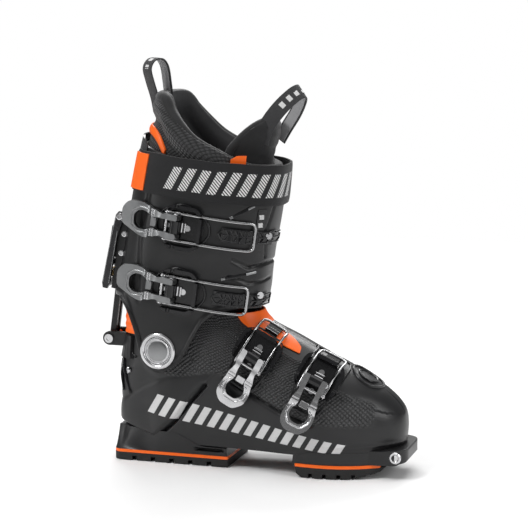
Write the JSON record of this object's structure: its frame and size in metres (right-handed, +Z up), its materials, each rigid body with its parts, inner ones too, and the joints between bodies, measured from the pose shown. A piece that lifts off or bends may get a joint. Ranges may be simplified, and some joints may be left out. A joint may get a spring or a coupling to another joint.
{
  "type": "ski touring boot",
  "caption": "Four-buckle alpine ski touring boot, right foot: overlap shell on a lugged sole, pivoting cuff with a walk lever, power strap and padded liner.",
  "frame": {"origin": "the mid-sole mark: on the ground plane, on the sole's centre line, halfway along the 305 mm sole", "axes": "+X to the toe, +Y to the inner (medial) side of the foot, +Z up"},
  "size_m": [0.3227, 0.1298, 0.407],
  "materials": {
    "shell_plastic": "satin, moulded diamond texture",
    "orange_plastic": "satin",
    "tread_rubber": "matt",
    "steel": "satin",
    "buckle_metal": "satin, bead-blasted",
    "dark_plastic": "satin, ribbed",
    "liner_foam": "padded knit",
    "liner_lining": "smooth brushed lining",
    "webbing": "woven",
    "strap_elastic": "woven elastic with a pale hatched stripe",
    "smoke_plastic": "smoked",
    "board_plastic": "matt",
    "felt": "felted top cover"
  },
  "bodies": {
    "shell": {"lower_shell": "shell_plastic", "sole_frame": "shell_plastic", "front_gaiter": "orange_plastic", "rear_gaiter": "orange_plastic", "heel_tread": "tread_rubber", "heel_layer": "orange_plastic", "toe_tread": "tread_rubber", "toe_layer": "orange_plastic", "toe_insert": "steel", "heel_insert": "steel", "heel_insert_screws": "steel", "boot_board": "board_plastic", "footbed": "felt", "liner_foot": "liner_foam", "pivot_lateral": "buckle_metal", "pivot_medial": "buckle_metal", "heel_bracket": "shell_plastic", "walk_pin": "steel", "walk_bushings": "orange_plastic", "bracket_bolts": "steel", "instep_base": "shell_plastic", "instep_rack": "dark_plastic", "toe_base": "shell_plastic", "toe_rack": "dark_plastic", "shell_lever_pins": "steel", "shell_rivets": "steel"},
    "cuff": {"cuff": "shell_plastic", "spoiler": "smoke_plastic", "liner_shaft": "liner_foam", "liner_tongue": "liner_lining", "collar_trim": "orange_plastic", "power_strap": "strap_elastic", "strap_tab": "orange_plastic", "strap_ring": "steel", "upper_base": "shell_plastic", "upper_rack": "dark_plastic", "lower_base": "shell_plastic", "lower_rack": "dark_plastic", "rack_screws": "steel", "cuff_lever_pins": "steel", "cuff_rivets": "steel", "cuff_bushings": "dark_plastic", "walk_bracket": "buckle_metal", "walk_housing": "dark_plastic", "walk_rivets": "steel", "walk_hinge_pin": "steel", "rear_loop": "webbing", "tongue_loop": "webbing"},
    "upper_lever": {"upper_lever": "buckle_metal"},
    "upper_bail": {"upper_bail": "steel"},
    "lower_lever": {"lower_lever": "buckle_metal"},
    "lower_bail": {"lower_bail": "steel"},
    "instep_lever": {"instep_lever": "buckle_metal"},
    "instep_bail": {"instep_bail": "steel"},
    "toe_lever": {"toe_lever": "buckle_metal"},
    "toe_bail": {"toe_bail": "steel"},
    "walk_lever": {"walk_lever": "buckle_metal", "walk_rollers": "dark_plastic"},
    "walk_bar": {"walk_bar": "dark_plastic"}
  },
  "joints": [
    {"name": "cuff_pivot", "type": "hinge", "parent": "shell", "child": "cuff", "pos_m": [-0.098, 0, 0.118], "axis": [0, 1, 0], "range_deg": [-35, 6]},
    {"name": "upper_lever_hinge", "type": "hinge", "parent": "cuff", "child": "upper_lever", "pos_m": [-0.076, -0.0585, 0.245], "axis": [0.1392, 0, 0.9903], "range_deg": [0, 100]},
    {"name": "upper_bail_hinge", "type": "hinge", "parent": "upper_lever", "child": "upper_bail", "pos_m": [-0.08561, -0.05608, 0.24635], "axis": [0.1392, 0, 0.9903], "range_deg": [-130, 0]},
    {"name": "lower_lever_hinge", "type": "hinge", "parent": "cuff", "child": "lower_lever", "pos_m": [-0.082, -0.056, 0.181], "axis": [0.1392, 0, 0.9903], "range_deg": [0, 100]},
    {"name": "lower_bail_hinge", "type": "hinge", "parent": "lower_lever", "child": "lower_bail", "pos_m": [-0.09169, -0.05392, 0.18236], "axis": [0.1392, 0, 0.9903], "range_deg": [-130, 0]},
    {"name": "instep_lever_hinge", "type": "hinge", "parent": "shell", "child": "instep_lever", "pos_m": [0.001, -0.0482, 0.117], "axis": [-0.8746, 0, 0.4848], "range_deg": [0, 100]},
    {"name": "instep_bail_hinge", "type": "hinge", "parent": "instep_lever", "child": "instep_bail", "pos_m": [-0.00384, -0.04872, 0.10827], "axis": [-0.8746, 0, 0.4848], "range_deg": [-130, 0]},
    {"name": "toe_lever_hinge", "type": "hinge", "parent": "shell", "child": "toe_lever", "pos_m": [0.066, -0.0505, 0.098], "axis": [-0.9135, 0, 0.4067], "range_deg": [0, 100]},
    {"name": "toe_bail_hinge", "type": "hinge", "parent": "toe_lever", "child": "toe_bail", "pos_m": [0.06205, -0.05292, 0.08914], "axis": [-0.9135, 0, 0.4067], "range_deg": [-130, 0]},
    {"name": "walk_lever_hinge", "type": "hinge", "parent": "cuff", "child": "walk_lever", "pos_m": [-0.14986, 0, 0.24714], "axis": [0, 1, 0], "range_deg": [0, 95]},
    {"name": "walk_bar_hinge", "type": "hinge", "parent": "shell", "child": "walk_bar", "pos_m": [-0.163, 0, 0.121], "axis": [0, 1, 0], "range_deg": [-42, 7.2]}
  ],
  "couplings": [
    {"joint": "upper_bail_hinge", "follows": "upper_lever_hinge", "ratio": -1.3},
    {"joint": "lower_bail_hinge", "follows": "lower_lever_hinge", "ratio": -1.3},
    {"joint": "instep_bail_hinge", "follows": "instep_lever_hinge", "ratio": -1.3},
    {"joint": "toe_bail_hinge", "follows": "toe_lever_hinge", "ratio": -1.3},
    {"joint": "walk_bar_hinge", "follows": "cuff_pivot", "ratio": 1.2}
  ]
}
